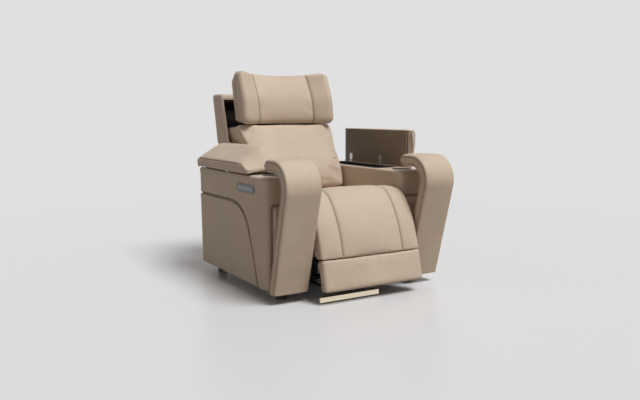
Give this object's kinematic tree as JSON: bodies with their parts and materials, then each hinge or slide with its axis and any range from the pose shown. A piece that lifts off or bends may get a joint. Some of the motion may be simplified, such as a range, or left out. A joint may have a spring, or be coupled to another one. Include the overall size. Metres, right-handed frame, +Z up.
{
  "type": "power recliner",
  "caption": "Leather home-theatre power recliner with a tilting headrest, a reclining back, a lifting leg rest, cup holders and storage wells under hinged arm lids.",
  "frame": {"origin": "on the floor, under the middle support glide, on the chair's middle plane", "axes": "+Z up, the chair faces -Y, +X to its left as it is sat in"},
  "size_m": [1.0454, 1.1582, 1.0542],
  "materials": {
    "taupe_leather": "fine grain, satin",
    "lid_underside": "smooth dark brown lining",
    "dark_lining": "matt black lining cloth",
    "board": "raw plywood",
    "black_steel": "satin black powder coat",
    "bright_steel": "zinc plated",
    "spring_wire": "drawn wire",
    "black_plastic": "moulded, fine texture",
    "cup_metal": "brushed rim",
    "panel_plastic": "grey-blue moulded plastic",
    "button_plastic": "light grey moulded plastic",
    "light_channel": "satin anodised",
    "light_diffuser": "warm opal"
  },
  "bodies": {
    "base": {"base_frame": "black_steel", "control_plate": "panel_plastic", "feet": "black_plastic", "fixed_hinge_leaves": "bright_steel", "left_arm_boards": "board", "left_arm_deck": "taupe_leather", "left_arm_inner_panel": "taupe_leather", "left_arm_outer_panel": "taupe_leather", "left_cup_holder": "cup_metal", "left_front_pads": "taupe_leather", "left_front_slab": "taupe_leather", "left_side_pad": "taupe_leather", "left_storage_tray": "black_plastic", "legrest_actuator": "black_plastic", "light_channel": "light_channel", "light_diffuser": "light_diffuser", "mechanism_plates": "black_steel", "power_supply": "black_plastic", "recline_actuator": "black_plastic", "right_arm_boards": "board", "right_arm_deck": "taupe_leather", "right_arm_inner_panel": "taupe_leather", "right_arm_outer_panel": "taupe_leather", "right_cup_holder": "cup_metal", "right_front_pads": "taupe_leather", "right_front_slab": "taupe_leather", "right_side_pad": "taupe_leather", "right_storage_tray": "black_plastic", "seat_cushion": "taupe_leather", "seat_frame": "board", "seat_springs": "spring_wire", "slab_bolts": "bright_steel"},
    "left_lid": {"left_lid_board": "lid_underside", "left_lid_pad": "taupe_leather", "left_lid_hinge_leaves": "bright_steel"},
    "right_lid": {"right_lid_board": "lid_underside", "right_lid_pad": "taupe_leather", "right_lid_hinge_leaves": "bright_steel"},
    "legrest": {"legrest_frame": "black_steel", "legrest_pad": "taupe_leather"},
    "foot_panel": {"foot_board": "board", "foot_pad": "taupe_leather"},
    "crank": {"drive_crank": "black_steel"},
    "couplers": {"coupler_links": "black_steel"},
    "legrest_rod": {"legrest_actuator_rod": "bright_steel"},
    "back": {"back_shell": "taupe_leather", "back_frame": "black_steel", "back_cushion": "taupe_leather", "back_lining": "dark_lining", "headrest_actuator": "black_plastic"},
    "recline_rod": {"recline_actuator_rod": "bright_steel"},
    "headrest": {"headrest_frame": "black_steel", "headrest_pad": "taupe_leather"},
    "headrest_rod": {"headrest_actuator_rod": "bright_steel"},
    "push_1": {"button_1": "button_plastic"},
    "push_2": {"button_2": "button_plastic"},
    "push_3": {"button_3": "button_plastic"},
    "push_4": {"button_4": "button_plastic"}
  },
  "joints": [
    {"name": "legrest_lift", "type": "hinge", "parent": "base", "child": "legrest", "pos_m": [0, -0.425, 0.402], "axis": [-1, 0, 0], "range_deg": [0, 73]},
    {"name": "foot_extend", "type": "slide", "parent": "legrest", "child": "foot_panel", "axis": [0, -0.2588, -0.9659], "range_m": [0, 0.101]},
    {"name": "crank_turn", "type": "hinge", "parent": "base", "child": "crank", "pos_m": [0, -0.29, 0.295], "axis": [-1, 0, 0], "range_deg": [0, 73.5]},
    {"name": "coupler_swing", "type": "hinge", "parent": "crank", "child": "couplers", "pos_m": [0, -0.295, 0.155], "axis": [-1, 0, 0], "range_deg": [-73.5, 0.5]},
    {"name": "legrest_rod_push", "type": "slide", "parent": "base", "child": "legrest_rod", "axis": [0, -1, 0], "range_m": [0, 0.09617]},
    {"name": "back_recline", "type": "hinge", "parent": "base", "child": "back", "pos_m": [0, 0.29, 0.34], "axis": [-1, 0, 0], "range_deg": [0, 40]},
    {"name": "recline_rod_pull", "type": "slide", "parent": "base", "child": "recline_rod", "axis": [0, -1, 0], "range_m": [0, 0.0694]},
    {"name": "headrest_tilt", "type": "hinge", "parent": "back", "child": "headrest", "pos_m": [0, 0.3, 0.782], "axis": [1, 0, 0], "range_deg": [-12, 25]},
    {"name": "headrest_rod_push", "type": "slide", "parent": "back", "child": "headrest_rod", "axis": [0, 0.2267, 0.974], "range_m": [-0.0257, 0.05245]},
    {"name": "left_lid_open", "type": "hinge", "parent": "base", "child": "left_lid", "pos_m": [-0.461, 0.195, 0.5638], "axis": [0, -1, 0], "range_deg": [0, 90]},
    {"name": "right_lid_close", "type": "hinge", "parent": "base", "child": "right_lid", "pos_m": [0.461, 0.195, 0.5638], "axis": [0, -1, 0], "range_deg": [0, 90]},
    {"name": "push_1_press", "type": "slide", "parent": "base", "child": "push_1", "axis": [1, 0, 0], "range_m": [0, 0.0012], "stiffness_N_per_m": 400, "springref_m": -0.001},
    {"name": "push_2_press", "type": "slide", "parent": "base", "child": "push_2", "axis": [1, 0, 0], "range_m": [0, 0.0012], "stiffness_N_per_m": 400, "springref_m": -0.001},
    {"name": "push_3_press", "type": "slide", "parent": "base", "child": "push_3", "axis": [1, 0, 0], "range_m": [0, 0.0012], "stiffness_N_per_m": 400, "springref_m": -0.001},
    {"name": "push_4_press", "type": "slide", "parent": "base", "child": "push_4", "axis": [1, 0, 0], "range_m": [0, 0.0012], "stiffness_N_per_m": 400, "springref_m": -0.001}
  ],
  "couplings": [
    {"joint": "foot_extend", "follows": "legrest_lift", "m_per_rad": 0.078487},
    {"joint": "crank_turn", "follows": "legrest_lift", "ratio": 1},
    {"joint": "coupler_swing", "follows": "legrest_lift", "ratio": -1},
    {"joint": "legrest_rod_push", "follows": "legrest_lift", "m_per_rad": 0.074698},
    {"joint": "recline_rod_pull", "follows": "back_recline", "m_per_rad": 0.097982},
    {"joint": "headrest_rod_push", "follows": "headrest_tilt", "m_per_rad": 0.11793}
  ]
}
